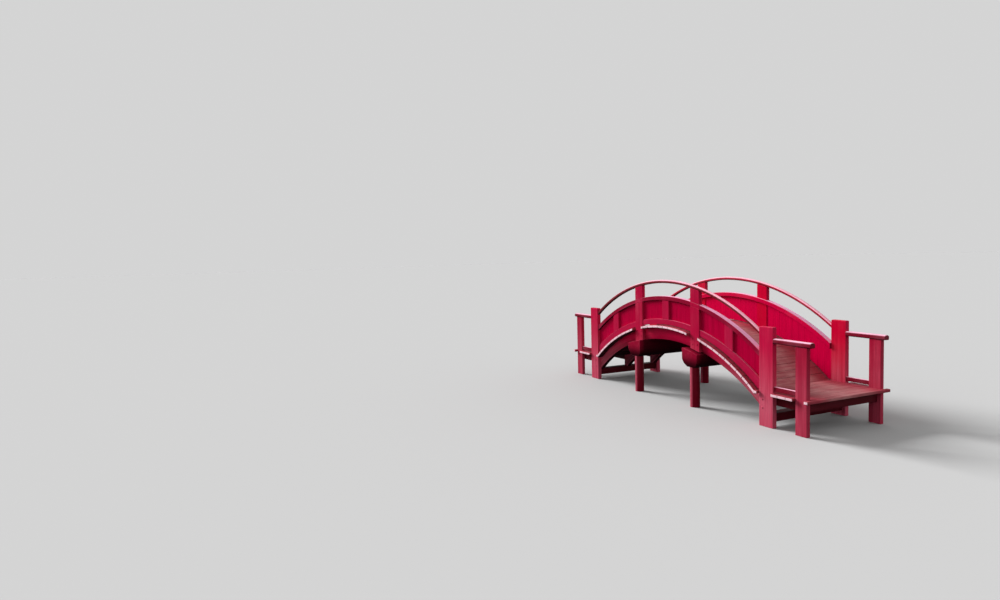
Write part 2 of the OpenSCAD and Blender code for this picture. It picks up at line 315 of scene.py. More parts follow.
crown_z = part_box("deck_middle")[1].z
foot_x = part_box("deck_right")[1].x
landing_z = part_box("landing_right")[1].z
deck_arc = arc_through(crown_z, landing_z, foot_x)
handrail_arc = arc_of("handrail_near")
mid_rail_arc = arc_of("mid_rail_near")
bottom_rail_arc = arc_of("bottom_rail_near")
girder_arc = arc_of("girder_near", min)
for name, arc in [("deck", deck_arc), ("handrail", handrail_arc), ("mid rail", mid_rail_arc),
                  ("bottom rail", bottom_rail_arc), ("underside of the girders", girder_arc)]:
    print(name, "radius", round(arc[0], 3), "centre height", round(arc[1], 3))

# %% [markdown]
# Painted timber
# The real timber has an oil paint that has stood some years of sun and rain. It keeps its red on upright
# faces, bleaches towards pink where the sun and the rain reach it, opens in hair cracks along the grain
# and wears pale along the arrises. Upper faces and arrises that look towards the light are painted paler
# still, as a painted reflection and highlight. Undersides, low parts and the parts under the deck are
# painted darker, as painted shade, and the bent girders show the lines where their layers are glued.
#
# One flat red would look like plastic, and a painted picture would blur when seen close up. So each of
# these is one step of a recipe of nodes, which is sharp at any distance. All patterns are measured in
# metres along the grain, so they have the same scale on every timber. On the bent timbers the grain
# follows the arc, so there the recipe turns height and place into a run along the arc first.

# %% Coordinates along the grain
FINE_STRENGTH = 0.55


def grain_space(tree, grain, arc=None):
    """Object coordinates in metres with the first axis along the grain."""
    place = add(tree, "TexCoord").outputs["Object"]
    parts = add(tree, "SeparateXYZ", {0: place}).outputs
    if grain == "arc":
        radius, centre_z = arc
        height = maths(tree, "SUBTRACT", parts["Z"], centre_z)
        run = maths(tree, "MULTIPLY", maths(tree, "ARCTAN2", parts["X"], height), radius)
        square = total(tree, maths(tree, "MULTIPLY", height, height),
                       maths(tree, "MULTIPLY", parts["X"], parts["X"]))
        from_centre = maths(tree, "SQRT", square)
        return add(tree, "CombineXYZ", {0: run, 1: parts["Y"], 2: from_centre}).outputs[0]
    order = {"x": ("X", "Y", "Z"), "y": ("Y", "X", "Z"), "z": ("Z", "X", "Y")}[grain]
    return add(tree, "CombineXYZ", {i: parts[axis] for i, axis in enumerate(order)}).outputs[0]


def stretched_noise(tree, space, along, across, detail, shift):
    """Noise with that many waves to a metre along the grain and across it, from 0 to 1."""
    scaled = add(tree, "Mapping", {0: space, "Location": (shift, shift, shift),
                                   "Scale": (along, across, across)}).outputs[0]
    return add(tree, "TexNoise", {"Vector": scaled, "Scale": 1.0, "Detail": detail,
                                  "Roughness": FINE_STRENGTH}).outputs[0]


def round_noise(tree, place, waves, detail):
    """Noise with that many waves to a metre every way, from 0 to 1."""
    return add(tree, "TexNoise", {"Vector": place, "Scale": waves, "Detail": detail}).outputs[0]


def grain_patterns(tree, space, patterns):
    """A stretched noise for each pattern, from its waves along and across, its detail and its shift."""
    return {name: stretched_noise(tree, space, *values) for name, values in patterns.items()}


def facing(tree, direction):
    """How far a face looks that way: 1 straight along the direction, 0 square to it and -1 away from it."""
    normal = add(tree, "NewGeometry").outputs["Normal"]
    return add(tree, "VectorMath", {0: normal, 1: direction}, operation="DOT_PRODUCT").outputs["Value"]


# %% Read the surface of a timber
UP = (0, 0, 1)
FRONT = (0, -1, 0)
LEFT = (-1, 0, 0)

# Waves to a metre along the grain and across it, detail, and a shift that sets each pattern apart
PAINT_PATTERNS = {
    "runs": (0.9, 22.0, 3.0, 1.3),
    "streaks": (2.5, 85.0, 3.0, 0.0),
    "brush": (9.0, 420.0, 1.0, 3.7),
    "crack_lines": (3.0, 150.0, 2.0, 8.1),
}

# Waves to a metre every way, and detail
PATCHES = (2.3, 4.0)
SPECKS = (38.0, 3.0)


def read_surface(tree, grain, arc):
    """The patterns in the paint, where a point lies, and how far it faces up."""
    place = add(tree, "TexCoord").outputs["Object"]
    parts = add(tree, "SeparateXYZ", {0: place}).outputs
    space = grain_space(tree, grain, arc)
    surface = grain_patterns(tree, space, PAINT_PATTERNS)
    surface["patches"] = round_noise(tree, place, *PATCHES)
    surface["specks"] = round_noise(tree, place, *SPECKS)
    surface["upward"] = facing(tree, UP)
    surface["x"] = parts["X"]
    surface["y"] = parts["Y"]
    surface["z"] = parts["Z"]

    # Height counts from the feet of the piles, and on a bent timber from its arc
    surface["height"] = parts["Z"]
    if arc:
        from_centre = add(tree, "SeparateXYZ", {0: space}).outputs["Z"]
        surface["height"] = maths(tree, "SUBTRACT", from_centre, arc[0])
    return surface


print("patterns in the paint: patches, specks,", ", ".join(PAINT_PATTERNS))

# %% The coats of paint
LAP_EDGE = 0.004


def fresh_coats(tree, surface, colour, lap, inner):
    """The paint as it left the brush. A lap and the inner sides have reds of their own."""
    fresh = srgb(*colour)
    if lap:
        lap_middle, half_width, lap_colour = lap
        past_middle = maths(tree, "SUBTRACT", maths(tree, "ABSOLUTE", surface["x"]), lap_middle)
        from_lap = maths(tree, "ABSOLUTE", past_middle)
        on_lap = ramp(tree, from_lap, half_width - LAP_EDGE, half_width, 1.0, 0.0)
        fresh = blend_of(tree, on_lap, fresh, srgb(*lap_colour))
    if inner:
        inward = product(tree, maths(tree, "SIGN", surface["y"]), facing(tree, FRONT))
        fresh = blend_of(tree, ramp(tree, inward, 0.5, 0.9), fresh, srgb(*inner))
    return fresh


# %% Bleaching, and painted reflection on faces towards the light
def bleach_and_glare(tree, surface, fading, low_fading, top_glare_and_fading):
    """How pale the red goes, 0 to 1: bleached in patches and near the foot, and painted reflection."""
    runs = surface["runs"]
    pale_share = product(tree, ramp(tree, surface["patches"], 0.42, 0.72),
                     ramp(tree, runs, 0.35, 0.65, 0.4, 1.0), fading)
    if low_fading:
        lowest, highest, amount = low_fading
        near_foot = ramp(tree, surface["z"], lowest, highest, amount, 0.0)
        pale_share = total(tree, pale_share, product(tree, near_foot, ramp(tree, runs, 0.3, 0.7, 0.55, 1.0)))
    if top_glare_and_fading:
        # Painted reflection of the light on faces that look towards it, partly bleaching too
        amount, glare_from, begins, full = top_glare_and_fading
        on_top = ramp(tree, facing(tree, glare_from), begins, full, 0.0, amount)
        speckled = ramp(tree, surface["specks"], 0.2, 0.6, 0.8, 1.0)
        pale_share = total(tree, pale_share, product(tree, on_top, speckled))
    return maths(tree, "MINIMUM", pale_share, 1.0)


# %% Cracks, glue lines, and rubbed arrises with painted highlights
GLUE_LINE = 0.05


def hair_cracks(tree, surface, cracks):
    """1 in the hair cracks, which open only in some patches."""
    return product(tree, ramp(tree, surface["crack_lines"], 0.66, 0.70),
                   ramp(tree, surface["patches"], 0.45, 0.62), cracks)


def glue_lines(tree, surface, thickness):
    """1 in the lines between the layers of a bent timber."""
    through_layer = maths(tree, "FRACT", maths(tree, "DIVIDE", surface["height"], thickness))
    return product(tree, ramp(tree, through_layer, 0.0, GLUE_LINE, 1.0, 0.0),
                   ramp(tree, surface["runs"], 0.35, 0.6, 0.3, 1.0))


def rubbing_and_glint(tree, surface, wear_and_glint, top_wear_and_glint, side_wear_and_glint):
    """How far the marked arrises go pale: worn paint, and a painted highlight where they look up or left.
    """
    arris = add(tree, "Attribute", attribute_name="arris").outputs["Fac"]
    toward_light = maths(tree, "MAXIMUM", ramp(tree, surface["upward"], 0.05, 0.65, 0.05, top_wear_and_glint),
                    ramp(tree, facing(tree, LEFT), 0.3, 0.7, 0.0, side_wear_and_glint))
    return product(tree, arris, ramp(tree, surface["specks"], 0.36, 0.60, 0.2, 1.0), toward_light, wear_and_glint)


# %% The recipe for painted timber
CRACK_BROWN = srgb(46, 8, 14)
RUBBED_AND_GLINT_PINK = srgb(226, 130, 148)
SHADE_BLACK = srgb(24, 3, 8)
GLUE_SHARE = 0.35
PALE_ROUGHNESS = 0.16
STREAK_ROUGHNESS = 0.14
SHADE_AND_DIRT_ROUGHNESS = 0.5
STREAK_HEIGHT = 0.5
BRUSH_HEIGHT = 0.25
CRACK_HEIGHT = -0.9
GLUE_HEIGHT = -0.8
RELIEF_DEPTH = 0.0007
RELIEF_STRENGTH = 0.7


def painted_timber(name, colour, faded, grain, arc=None, fading=0.2, low_fading=None, top_glare_and_fading=None,
                   lap=None, inner=None, underside=None, low_shade=None, under_deck_shade=None, layers=None, cracks=0.4,
                   wear_and_glint=0.3, top_wear_and_glint=1.0, side_wear_and_glint=0.25, roughness=0.46, shine=0.04):
    """A red that has weathered: its pink, its grain, and how much of each kind of wear it has."""
    paint, tree = new_finish(name)
    surface = read_surface(tree, grain, arc)
    streaks = surface["streaks"]

    # The coats, bleached, paler with painted reflection on top, and painted shade where they face down
    pale_share = bleach_and_glare(tree, surface, fading, low_fading, top_glare_and_fading)
    base = blend_of(tree, pale_share, fresh_coats(tree, surface, colour, lap, inner), srgb(*faded))
    shade_and_dirt = 0.0
    if underside:
        shade_and_dirt = ramp(tree, surface["upward"], -0.85, -0.35, 1.0, 0.0)
        base = blend_of(tree, shade_and_dirt, base, srgb(*underside))

    # Streaks and cracks along the grain
    shade = product(tree, ramp(tree, streaks, 0.25, 0.75, 0.88, 1.09),
                    ramp(tree, surface["runs"], 0.3, 0.7, 0.94, 1.05))
    base = toned(tree, base, shade)
    cracked = hair_cracks(tree, surface, cracks)
    base = blend_of(tree, cracked, base, CRACK_BROWN)

    # Painted shade low down, glue lines, and rubbed arrises with painted highlights
    if low_shade:
        # Painted shade, darker towards the bottom
        lowest, highest, amount = low_shade
        low_dark = ramp(tree, surface["height"], lowest, highest, amount, 0.0)
        base = blend_of(tree, low_dark, base, SHADE_BLACK)
        shade_and_dirt = maths(tree, "MAXIMUM", shade_and_dirt, low_dark)
    glue = 0.0
    if layers:
        glue = glue_lines(tree, surface, layers)
        base = blend_of(tree, product(tree, glue, GLUE_SHARE), base, CRACK_BROWN)
    base = blend_of(tree, rubbing_and_glint(tree, surface, wear_and_glint, top_wear_and_glint, side_wear_and_glint), base, RUBBED_AND_GLINT_PINK)

    # Painted shade under the deck, from the middle of a beam outwards
    if under_deck_shade:
        darkest, clear, amount = under_deck_shade
        dark_under_deck = ramp(tree, maths(tree, "ABSOLUTE", surface["y"]), darkest, clear, amount, 0.0)
        base = blend_of(tree, dark_under_deck, base, SHADE_BLACK)
        shade_and_dirt = maths(tree, "MAXIMUM", shade_and_dirt, dark_under_deck)

    # Pale paint and painted shade are rougher, and streaks, brush marks, cracks and glue lines can be felt
    rough = total(tree, product(tree, pale_share, PALE_ROUGHNESS), product(tree, streaks, STREAK_ROUGHNESS),
                  product(tree, shade_and_dirt, SHADE_AND_DIRT_ROUGHNESS), roughness - STREAK_ROUGHNESS / 2)
    height = total(tree, product(tree, streaks, STREAK_HEIGHT),
                   product(tree, surface["brush"], BRUSH_HEIGHT),
                   product(tree, cracked, CRACK_HEIGHT), product(tree, glue, GLUE_HEIGHT))
    return complete(paint, base, rough, height, RELIEF_STRENGTH, RELIEF_DEPTH, shine)


# %% [markdown]
# The reds of the bridge
# All the timber is one red to the eye, but no two parts look alike: the posts catch the sun, the mid
# rails are darker, and the panels are deep and even. The side towards the walkway is painted a brighter
# red. The one recipe could paint them all the same, but the bridge would lose its depth. So each kind of
# timber has its own red and its own pink that it fades to.
#
# Paleness on top, part bleaching and part painted reflection of the light, is given as an amount, the
# direction that the light comes from, and how squarely a face must look that way for it to begin and to
# be full. Fading near the foot and the painted shade low down are given as the height where they are
# strongest, the height where they end, and an amount. The low shade on a bent timber is measured from its
# arc. The painted shade under the deck is given the same way, outwards from the middle of the bridge.

# %% Colours
POST_RED = (178, 12, 58)
NEWEL_RED = (192, 16, 64)
WING_POST_RED = (160, 14, 50)
STILE_RED = (180, 18, 62)
PANEL_RED = (176, 0, 52)
MID_RAIL_RED = (142, 8, 45)
BOTTOM_RAIL_RED = (174, 18, 62)
GIRDER_RED = (206, 6, 64)
HANDRAIL_RED = (118, 12, 26)
CAP_RED = (146, 6, 44)
PILE_RED = (116, 2, 28)
FRAME_RED = (80, 8, 20)
WING_RED = (120, 20, 40)

INNER_RED = (200, 2, 62)
INNER_POST_RED = (196, 2, 48)
INNER_HANDRAIL_RED = (160, 14, 44)
# Painted shade on faces that look down
SHADED_RED = (44, 4, 12)

DULL_PINK = (198, 86, 108)
FADED_PINK = (192, 56, 90)
PANEL_PINK = (176, 8, 60)
GIRDER_PINK = (236, 116, 138)
BOTTOM_RAIL_PINK = (206, 74, 112)
MID_RAIL_PINK = (255, 176, 212)
HANDRAIL_PINK = (255, 182, 202)
WING_PINK = (252, 192, 216)
print("the red of the posts in linear light:", [round(v, 3) for v in srgb(*POST_RED)])

# %% Finishes of the upright timbers
# The way the painted highlight on the piles faces
PILE_GLARE_FROM = Vector((-0.20, -0.98, 0)).normalized()

finishes = {
    "post": painted_timber("post_paint", POST_RED, DULL_PINK, "z", low_fading=(0.2, 1.30, 0.8),
                           inner=INNER_POST_RED, underside=SHADED_RED, wear_and_glint=0.15),
    "newel": painted_timber("newel_paint", NEWEL_RED, DULL_PINK, "z", low_fading=(0.2, 1.30, 0.95),
                            inner=INNER_POST_RED, underside=SHADED_RED, wear_and_glint=0.15),
    "wing_post": painted_timber("wing_post_paint", WING_POST_RED, DULL_PINK, "z",
                                low_fading=(0.2, 1.4, 0.5), underside=SHADED_RED, wear_and_glint=0.15),
    "stile": painted_timber("stile_paint", STILE_RED, FADED_PINK, "z", fading=0.3, inner=INNER_RED,
                            wear_and_glint=0.1),
    "panel": painted_timber("panel_paint", PANEL_RED, PANEL_PINK, "z", fading=0.3, inner=INNER_RED,
                            cracks=0.2, wear_and_glint=0.0, shine=0.02),
    # The paler front of the pile is a painted highlight
    "pile": painted_timber("pile_paint", PILE_RED, DULL_PINK, "z", fading=0.12,
                           top_glare_and_fading=(0.6, PILE_GLARE_FROM, 0.79, 0.93), roughness=0.40, shine=0.06),
}

# %% Finishes of the rails, the girders and the beams
# Directions that a top must face to take the painted reflection of the light
HANDRAIL_GLARE_FROM = Vector((0.46, -0.34, 0.82)).normalized()
RAIL_GLARE_FROM = Vector((0.30, 0, 0.95)).normalized()
GIRDER_LAYER = 0.042

# The mid rail is halved into the posts, and takes the post's red where it crosses them
post_low, post_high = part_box("post_near_right")
POST_LAP = ((post_low.x + post_high.x) / 2, (post_high.x - post_low.x) / 2, POST_RED)

# The pale tops of the rails are partly bleaching and partly a painted reflection of the light
finishes["handrail"] = painted_timber(
    "handrail_paint", HANDRAIL_RED, HANDRAIL_PINK, "arc", handrail_arc, fading=0.05,
    top_glare_and_fading=(1.0, HANDRAIL_GLARE_FROM, 0.50, 0.74), inner=INNER_HANDRAIL_RED, underside=SHADED_RED,
    roughness=0.36, shine=0.15)
finishes["mid_rail"] = painted_timber(
    "mid_rail_paint", MID_RAIL_RED, MID_RAIL_PINK, "arc", mid_rail_arc, fading=0.05,
    top_glare_and_fading=(1.0, RAIL_GLARE_FROM, 0.6, 0.95), lap=POST_LAP, inner=INNER_RED, underside=SHADED_RED,
    wear_and_glint=0.6)
finishes["bottom_rail"] = painted_timber(
    "bottom_rail_paint", BOTTOM_RAIL_RED, BOTTOM_RAIL_PINK, "arc", bottom_rail_arc,
    top_glare_and_fading=(0.9, UP, 0.35, 0.85), inner=INNER_RED, underside=SHADED_RED, wear_and_glint=0.6)
# The girder's bright red and its pink towards the foot are partly painted light from below, and its lower
# edge is painted darker, as painted shade
finishes["girder"] = painted_timber(
    "girder_paint", GIRDER_RED, GIRDER_PINK, "arc", girder_arc, fading=0.12, low_fading=(0.40, 0.95, 1.0),
    underside=SHADED_RED, low_shade=(0.0, 0.12, 0.5), layers=GIRDER_LAYER, wear_and_glint=0.25)
# The cap beam is painted darker towards its bottom and under the deck, as painted shade, and its arrises
# that face left take a painted highlight
finishes["cap_beam"] = painted_timber(
    "cap_beam_paint", CAP_RED, DULL_PINK, "y", fading=0.1, underside=SHADED_RED, low_shade=(0.66, 0.91, 0.9),
    under_deck_shade=(0.76, 0.86, 0.75), wear_and_glint=0.9, top_wear_and_glint=0.3, side_wear_and_glint=0.6)
finishes["bearing_timber"] = painted_timber(
    "frame_paint", FRAME_RED, DULL_PINK, "y", fading=0.1, underside=SHADED_RED, wear_and_glint=0.1)
# The pale top of the wing rail is partly bleaching and partly a painted reflection of the light
finishes["wing_rail"] = painted_timber(
    "wing_rail_paint", WING_RED, WING_PINK, "x", fading=0.1, top_glare_and_fading=(0.85, UP, 0.45, 0.85),
    underside=SHADED_RED)

# %% [markdown]
# Weathered deck boards
# The ends of the deck boards show along both sides of the bridge as a bright ledge: rain stands in the
# end grain, and the paint there has gone almost white. On top the boards keep a dull red, and feet have
# worn a paler track between the railings. These could be three materials, given to the faces one by one.
# Instead one recipe asks which way a face looks, so each tone lands on the right faces of every board.
# Each board has its own tone and its own grain, and its end grain shows as flat growth rings.

# %% Read the surface of a deck board
BOARD_PATTERNS = {
    "grain": (1.6, 95.0, 4.0, 0.0),
    "fibres": (5.0, 420.0, 2.0, 2.0),
    "crack_lines": (2.2, 130.0, 2.0, 5.5),
    "scuffs": (4.0, 26.0, 3.0, 7.3),
}
BOARD_PATCHES = (3.1, 4.0)
BOARD_SHIFT = 37.0
RING_WAVES = 42.0
RING_BENDING = 5.0


def read_board(tree):
    """The patterns in a board, read at a place of its own, its tone, and where a point of it lies."""
    place = add(tree, "TexCoord").outputs["Object"]
    tone = add(tree, "Attribute", attribute_name="board").outputs["Fac"]
    own_shift = product(tree, tone, BOARD_SHIFT)
    space = add(tree, "VectorMath", {0: grain_space(tree, "y"), 1: own_shift}, operation="ADD").outputs[0]
    wood = grain_patterns(tree, space, BOARD_PATTERNS)
    wood["patches"] = round_noise(tree, place, *BOARD_PATCHES)
    wood["rings"] = add(tree, "TexWave", {"Vector": space, "Scale": RING_WAVES, "Distortion": RING_BENDING,
                                          "Detail": 1.0}, wave_type="BANDS", bands_direction="Z").outputs[1]
    wood["tone"] = tone
    wood["across"] = maths(tree, "ABSOLUTE", add(tree, "SeparateXYZ", {0: place}).outputs["Y"])
    wood["upward"] = facing(tree, UP)
    return wood


print("patterns in the boards: patches, rings,", ", ".join(BOARD_PATTERNS))

# %% The recipe for deck boards
RING_SHARE = 0.12
CRACK_SHARE = 0.6
GRAIN_HEIGHT = 0.6
FIBRE_HEIGHT = 0.3
OPEN_CRACK_HEIGHT = -1.0
BOARD_RELIEF_DEPTH = 0.0009
BOARD_RELIEF_STRENGTH = 0.8
BOARD_SHINE = 0.1


def deck_timber(name, ends, top, track, underside):
    """Deck boards from the colours of their end grain, their top, the worn track and the underside."""
    paint, tree = new_finish(name)
    wood = read_board(tree)
    grain = wood["grain"]
    patches = wood["patches"]
    upward = wood["upward"]

    # Dull red on top with a worn track along the middle, and shade below
    worn = product(tree, ramp(tree, wood["across"], 0.25, 0.66, 1.0, 0.12),
                   ramp(tree, wood["scuffs"], 0.30, 0.70, 0.55, 1.0),
                   ramp(tree, grain, 0.30, 0.60, 0.7, 1.0), ramp(tree, patches, 0.30, 0.65, 0.6, 1.0))
    on_top = blend_of(tree, worn, srgb(*top), srgb(*track))
    body = blend_of(tree, ramp(tree, upward, -0.60, 0.20), srgb(*underside), on_top)

    # Pale end grain, but not on the arrises above and below it
    outward = maths(tree, "ABSOLUTE", facing(tree, FRONT))
    tilt = maths(tree, "ABSOLUTE", upward)
    end_face = blend_of(tree, product(tree, wood["rings"], RING_SHARE), srgb(*ends), srgb(*top))
    on_end = product(tree, ramp(tree, outward, 0.35, 0.75), ramp(tree, tilt, 0.15, 0.45, 1.0, 0.0))
    base = blend_of(tree, on_end, body, end_face)

    # The tone of each board, and cracks along the grain
    shade = product(tree, ramp(tree, grain, 0.25, 0.75, 0.86, 1.07),
                    ramp(tree, wood["tone"], 0.0, 1.0, 0.88, 1.04),
                    ramp(tree, patches, 0.30, 0.70, 0.95, 1.04))
    cracked = product(tree, ramp(tree, wood["crack_lines"], 0.66, 0.71), CRACK_SHARE)
    base = blend_of(tree, cracked, toned(tree, base, shade), CRACK_BROWN)

    # Coarse grain is rough, and the grain, its fibres and the cracks can be felt
    rough = ramp(tree, grain, 0.2, 0.8, 0.60, 0.76)
    height = total(tree, product(tree, grain, GRAIN_HEIGHT), product(tree, wood["fibres"], FIBRE_HEIGHT),
                   product(tree, cracked, OPEN_CRACK_HEIGHT))
    return complete(paint, base, rough, height, BOARD_RELIEF_STRENGTH, BOARD_RELIEF_DEPTH, BOARD_SHINE)


BOARD_END_PINK = (255, 214, 226)
BOARD_TOP_RED = (168, 52, 70)
TRACK_PINK = (202, 142, 142)
finishes["deck_boards"] = deck_timber("deck_paint", BOARD_END_PINK, BOARD_TOP_RED, TRACK_PINK, SHADED_RED)

# %% [markdown]
# Timbers with eased arrises
# A joiner never leaves a sharp arris on outdoor timber: a few strokes of the plane take it off, which
# helps the paint to hold. The measured timbers are sharp. Their arrises could be rounded in the shading
# alone, but only a real bevel shows in the outline. So each timber is copied, its triangles are merged
# into whole faces, and the sharp edges are bevelled. The bevelled strips are marked, because that is
# where paint wears and where the painted highlights go.

# %% Copy, ease and place a timber
SHARP = radians(25)
JOINED = 0.00005
FLAT = radians(0.3)
ARRIS_STEPS = 2


def merged_copy(*nodes):
    """One form from measured timbers, with whole faces in place of triangles."""
    form = bmesh.new()
    for name in nodes:
        form.from_mesh(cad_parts[name].data)
    bmesh.ops.remove_doubles(form, verts=form.verts, dist=JOINED)
    bmesh.ops.dissolve_limit(form, angle_limit=FLAT, verts=form.verts, edges=form.edges)
    return form


def ease(form, width):
    """Bevels the sharp arrises and marks the strips that this makes."""
    sharp = [e for e in form.edges if e.is_manifold and e.calc_face_angle() > SHARP]
    arris = form.faces.layers.float.get("arris") or form.faces.layers.float.new("arris")
    made = bmesh.ops.bevel(form, geom=sharp, offset=width, offset_type="OFFSET", segments=ARRIS_STEPS,
                           profile=0.5, affect="EDGES", material=-1, clamp_overlap=True)
    for face in made["faces"]:
        face[arris] = 1.0


def place_piece(form, name, nodes, finish, rounded=True):
    """Makes a painted piece of the form, in place of the measured timbers that it was made from."""
    bmesh.ops.recalc_face_normals(form, faces=form.faces)
    for face in form.faces:
        face.smooth = rounded
    mesh = bpy.data.meshes.new(name)
    form.to_mesh(mesh)
    form.free()
    # Shading that came with the copy would hide the new arrises
    if "custom_normal" in mesh.attributes:
        mesh.attributes.remove(mesh.attributes["custom_normal"])
    mesh.materials.clear()
    mesh.materials.append(finishes[finish])
    piece = bpy.data.objects.new(name, mesh)
    scene.collection.objects.link(piece)
    even = piece.modifiers.new("even_shading", "WEIGHTED_NORMAL")
    even.keep_sharp = True
    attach(piece, "root")
    if nodes:
        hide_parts(*nodes)
    print(name, len(mesh.polygons), "faces")


# %% Ease the timbers of the bridge
ARRIS = {"post": 0.004, "stile": 0.003, "mid_rail": 0.005, "bottom_rail": 0.004, "girder": 0.005,
         "cap_beam": 0.006, "bearing_timber": 0.004, "wing_rail": 0.006}
OWN_FINISHES = ("newel", "wing_post")

for name, node in sorted(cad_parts.items()):
    slot = node.data.materials[0].name
    if slot in ARRIS:
        finish = slot
        for own in OWN_FINISHES:
            if name.startswith(own):
                finish = own
        form = merged_copy(name)
        ease(form, ARRIS[slot])
        place_piece(form, name + "_timber", [name], finish)

# %% [markdown]
# Deck boards
# The deck is thirty-two flat boards laid across the girders, with an open joint for rain between each
# two. The boards could be made one by one, but the posts come up through cut-outs in their ends. So the
# three bays of the model are merged into one curved slab, which is then sawn square to its arc at each
# joint, and the short facets of each board are dissolved. Beside the posts the boards are cut back a
# little further, so the pale ledge stops short of each post, as in the photograph. The landings are sawn
# into boards of the same width.

# %% Saw joints in a slab
ON_PLANE = 0.000001
SLIVER = 0.00001


def saw(form, point, normal, width):
    """Opens a joint of that width through the whole form."""
    for side in (-1, 1):
        everything = form.verts[:] + form.edges[:] + form.faces[:]
        bmesh.ops.bisect_plane(form, geom=everything, dist=ON_PLANE,
                               plane_co=point + normal * side * width / 2, plane_no=normal)
    waste = [f for f in form.faces
             if abs((f.calc_center_median() - point).dot(normal)) < width / 2 - SLIVER]
    bmesh.ops.delete(form, geom=waste, context="FACES")
    bmesh.ops.holes_fill(form, edges=[e for e in form.edges if e.is_boundary], sides=0)


def straighten(form, bend):
    """Dissolves the facets of each board, then the points that are left part of the way along an edge."""
    bmesh.ops.dissolve_limit(form, angle_limit=bend, verts=form.verts, edges=form.edges)
    bmesh.ops.dissolve_verts(form, verts=[v for v in form.verts if len(v.link_edges) == 2])


def tone_boards(form, count, board_of):
    """Gives each board a tone of its own, from 0 to 1. board_of says which board a face belongs to."""
    board = form.faces.layers.float.new("board")
    tones = [dice.random() for i in range(count)]
    for face in form.faces:
        index = int(board_of(face.calc_center_median()))
        face[board] = tones[min(max(index, 0), count - 1)]


# %% Saw the deck into boards
DECK_JOINT = 0.003
BOARDS_IN_DECK = 32
ON_SEAM = 0.0001
BOARD_BEND = radians(2)

radius, centre_z = deck_arc
centre = Vector((0, 0, centre_z))
half_angle = asin(foot_x / radius)
pitch = 2 * half_angle / BOARDS_IN_DECK
board_width = pitch * radius

form = merged_copy("deck_left", "deck_middle", "deck_right")
seam_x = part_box("deck_middle")[1].x
seams = [f for f in form.faces if all(abs(abs(v.co.x) - seam_x) < ON_SEAM for v in f.verts)]
bmesh.ops.delete(form, geom=seams, context="FACES")
for i in range(1, BOARDS_IN_DECK):
    angle = -half_angle + i * pitch
    outward = Vector((sin(angle), 0, cos(angle)))
    saw(form, centre + outward * radius, Vector((cos(angle), 0, -sin(angle))), DECK_JOINT)
straighten(form, BOARD_BEND)
open_edges = [e for e in form.edges if not e.is_manifold]
print("deck boards", round(board_width * 1000), "mm wide, open edges:", len(open_edges))

# %% Give the boards room round the posts
POST_CLEARANCE = 0.022
CHEEK_NEAR = 0.01
CHEEK_DEPTH = 0.05

for name in ("post_near_left", "post_near_right", "post_far_left", "post_far_right"):
    low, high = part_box(name)
    middle = (low + high) / 2
    half_width = (high.x - low.x) / 2
    for way in (-1, 1):
        cheek = [v for v in form.verts if abs((v.co.x - middle.x) * way - half_width) < CHEEK_NEAR
                 and abs(v.co.y) > abs(middle.y) - CHEEK_DEPTH and v.co.y * middle.y > 0]
        bmesh.ops.translate(form, verts=cheek, vec=(way * POST_CLEARANCE, 0, 0))
        print(name, "cheek points moved", len(cheek))

# %% Tone, ease and place the deck boards
BOARD_ARRIS = 0.006

tone_boards(form, BOARDS_IN_DECK,
            lambda middle: (atan2(middle.x, middle.z - centre_z) + half_angle) / pitch)
ease(form, BOARD_ARRIS)
place_piece(form, "deck_planks", ["deck_left", "deck_middle", "deck_right"], "deck_boards")

# %% Landing boards
landing_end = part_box("landing_right")[1].x
BOARDS_IN_LANDING = round((landing_end - foot_x) / board_width)
print("boards in a landing:", BOARDS_IN_LANDING, "and the last one is narrower")
for side, way in (("left", -1), ("right", 1)):
    name = "landing_" + side
    form = merged_copy(name)
    for i in range(1, BOARDS_IN_LANDING):
        saw(form, Vector((way * (foot_x + i * board_width), 0, landing_z)), Vector((1, 0, 0)), DECK_JOINT)
    tone_boards(form, BOARDS_IN_LANDING, lambda middle: (abs(middle.x) - foot_x) / board_width)
    ease(form, BOARD_ARRIS)
    place_piece(form, name + "_planks", [name], "deck_boards")

# %% [markdown]
# Boarded panels
# The panels under the mid rails are thin upright boards, tongued and grooved, with a small V along each
# joint. The joints could be sawn through as in the deck, but the tongues keep real ones shut, so no light
# may come through. Each V is cut into both sides instead: three lines are scribed down the panel, and the
# middle one is pushed in.

# %% Cut the joints of the panel boards
PANEL_BOARD = 0.125
GROOVE = 0.0013
GROOVE_DEPTH = 0.0015

for side in ("near", "far"):
    name = "panels_" + side
    low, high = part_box(name)
    form = merged_copy(name)
    count = round((high.x - low.x) / PANEL_BOARD)
    board_pitch = (high.x - low.x) / count
    thickness = high.y - low.y
    to_middle = Matrix.Translation((0, -(low.y + high.y) / 2, 0))
    for i in range(1, count):
        x = low.x + i * board_pitch
        for line in (x - GROOVE, x, x + GROOVE):
            everything = form.verts[:] + form.edges[:] + form.faces[:]
            bmesh.ops.bisect_plane(form, geom=everything, dist=ON_PLANE, plane_co=(line, 0, 0),
                                   plane_no=(1, 0, 0))
        joint = [v for v in form.verts if abs(v.co.x - x) < SLIVER]
        bmesh.ops.scale(form, verts=joint, vec=(1, 1 - 2 * GROOVE_DEPTH / thickness, 1), space=to_middle)
    place_piece(form, name + "_boards", [name], "panel", rounded=False)

# %% [markdown]
# Screws in the boards
# Each deck board is held by two screws over every girder, and each landing board likewise as far as the
# joists reach. Each screw could be an object of its own, but hundreds of objects are slow to handle, so
# they are all one piece, set square to the board that each one holds. A screw head is a flat cone of
# eight sides, which keeps them light, and it stands a hair proud of the wood.

